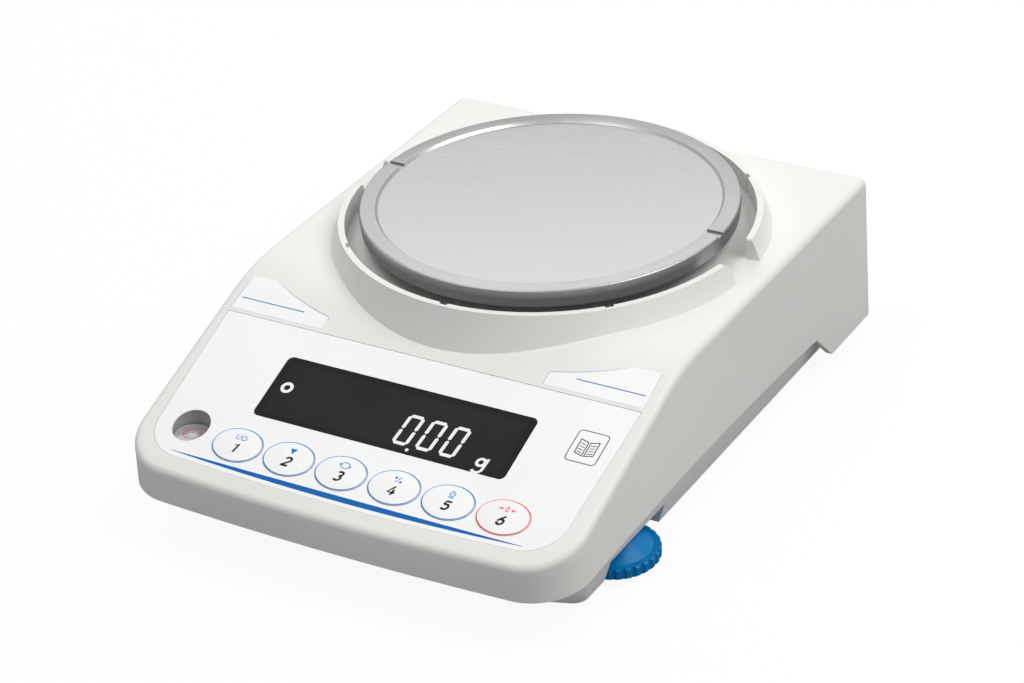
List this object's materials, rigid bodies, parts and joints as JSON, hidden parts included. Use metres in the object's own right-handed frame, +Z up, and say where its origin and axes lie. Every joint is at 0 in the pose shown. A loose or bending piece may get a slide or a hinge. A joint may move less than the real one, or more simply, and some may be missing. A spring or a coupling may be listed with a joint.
{
  "type": "precision balance",
  "caption": "Top-loading laboratory balance with a round steel pan in a low draught ring, a sloping key panel with display and spirit level, and levelling feet.",
  "frame": {"origin": "centre of the footprint of the whole balance, on the surface it stands on", "axes": "+Z up; +Y from the key panel to the back, along the longest side; +X to the right as seen from the keys"},
  "size_m": [0.1974, 0.2624, 0.0845],
  "materials": {
    "housing": "satin",
    "tray": "matt",
    "panel": "semi-gloss",
    "window": "smoked",
    "glass_tube": "dark",
    "board": "varnished",
    "black": "matt",
    "cup": "matt",
    "vial": "clear",
    "pan_steel": "brushed",
    "rubber": "matt",
    "frame_metal": "cast",
    "steel": "plated",
    "iron": "matt",
    "copper": "enamelled",
    "wheel": "satin",
    "bush": "turned"
  },
  "bodies": {
    "case": {"badge_left": "panel", "badge_right": "panel", "base_tray": "tray", "beam_pivot": "steel", "board_parts": "black", "board_screws": "steel", "cell_frame": "frame_metal", "cell_pillar": "frame_metal", "data_port": "steel", "display_module": "glass_tube", "display_window": "window", "foot_bush_left": "bush", "foot_bush_right": "bush", "housing_screws": "steel", "key_board": "board", "key_switches": "black", "level_cup": "cup", "level_vial": "vial", "lower_guide": "frame_metal", "magnet_core": "steel", "magnet_pot": "iron", "main_board": "board", "panel_sheet": "panel", "position_sensor": "black", "power_inlet": "black", "rear_foot_left": "rubber", "rear_foot_right": "rubber", "top_housing": "housing", "upper_guide": "frame_metal"},
    "load": {"load_receiver": "frame_metal"},
    "beam": {"balance_beam": "frame_metal", "force_coil": "copper"},
    "carrier": {"pan_carrier": "black", "pan_cushions": "rubber"},
    "pan": {"pan": "pan_steel"},
    "key_1": {"key_1": "panel"},
    "key_2": {"key_2": "panel"},
    "key_3": {"key_3": "panel"},
    "key_4": {"key_4": "panel"},
    "key_5": {"key_5": "panel"},
    "key_6": {"key_6": "panel"},
    "foot_left": {"foot_pad_left": "rubber"},
    "wheel_left": {"foot_wheel_left": "wheel"},
    "foot_right": {"foot_pad_right": "rubber"},
    "wheel_right": {"foot_wheel_right": "wheel"}
  },
  "joints": [
    {"name": "load_travel", "type": "slide", "parent": "case", "child": "load", "axis": [0, 0, 1], "range_m": [-0.0004, 0], "stiffness_N_per_m": 20000, "springref_m": 0.001},
    {"name": "beam_turn", "type": "hinge", "parent": "case", "child": "beam", "pos_m": [0, 0.01823, 0.0462], "axis": [1, 0, 0], "range_deg": [-1.9, 0]},
    {"name": "carrier_lift", "type": "slide", "parent": "load", "child": "carrier", "axis": [0, 0, 1], "range_m": [0, 0.03]},
    {"name": "pan_lift", "type": "slide", "parent": "carrier", "child": "pan", "axis": [0, 0, 1], "range_m": [0, 0.05]},
    {"name": "key_1_press", "type": "slide", "parent": "case", "child": "key_1", "axis": [0, 0.3387, -0.9409], "range_m": [0, 0.0004], "stiffness_N_per_m": 600, "springref_m": -0.001},
    {"name": "key_2_press", "type": "slide", "parent": "case", "child": "key_2", "axis": [0, 0.3387, -0.9409], "range_m": [0, 0.0004], "stiffness_N_per_m": 600, "springref_m": -0.001},
    {"name": "key_3_press", "type": "slide", "parent": "case", "child": "key_3", "axis": [0, 0.3387, -0.9409], "range_m": [0, 0.0004], "stiffness_N_per_m": 600, "springref_m": -0.001},
    {"name": "key_4_press", "type": "slide", "parent": "case", "child": "key_4", "axis": [0, 0.3387, -0.9409], "range_m": [0, 0.0004], "stiffness_N_per_m": 600, "springref_m": -0.001},
    {"name": "key_5_press", "type": "slide", "parent": "case", "child": "key_5", "axis": [0, 0.3387, -0.9409], "range_m": [0, 0.0004], "stiffness_N_per_m": 600, "springref_m": -0.001},
    {"name": "key_6_press", "type": "slide", "parent": "case", "child": "key_6", "axis": [0, 0.3387, -0.9409], "range_m": [0, 0.0004], "stiffness_N_per_m": 600, "springref_m": -0.001},
    {"name": "foot_left_travel", "type": "slide", "parent": "case", "child": "foot_left", "axis": [0, 0, -1], "range_m": [0, 0.006]},
    {"name": "wheel_left_turn", "type": "hinge", "parent": "foot_left", "child": "wheel_left", "pos_m": [-0.0815, -0.06423, 0.005], "axis": [0, 0, -1], "range_deg": [0, 1728]},
    {"name": "foot_right_travel", "type": "slide", "parent": "case", "child": "foot_right", "axis": [0, 0, -1], "range_m": [0, 0.006]},
    {"name": "wheel_right_turn", "type": "hinge", "parent": "foot_right", "child": "wheel_right", "pos_m": [0.0815, -0.06423, 0.005], "axis": [0, 0, -1], "range_deg": [0, 1728]}
  ],
  "couplings": [
    {"joint": "beam_turn", "follows": "load_travel", "rad_per_m": 74.074},
    {"joint": "foot_left_travel", "follows": "wheel_left_turn", "m_per_rad": 0.00019875},
    {"joint": "foot_right_travel", "follows": "wheel_right_turn", "m_per_rad": 0.00019875}
  ]
}
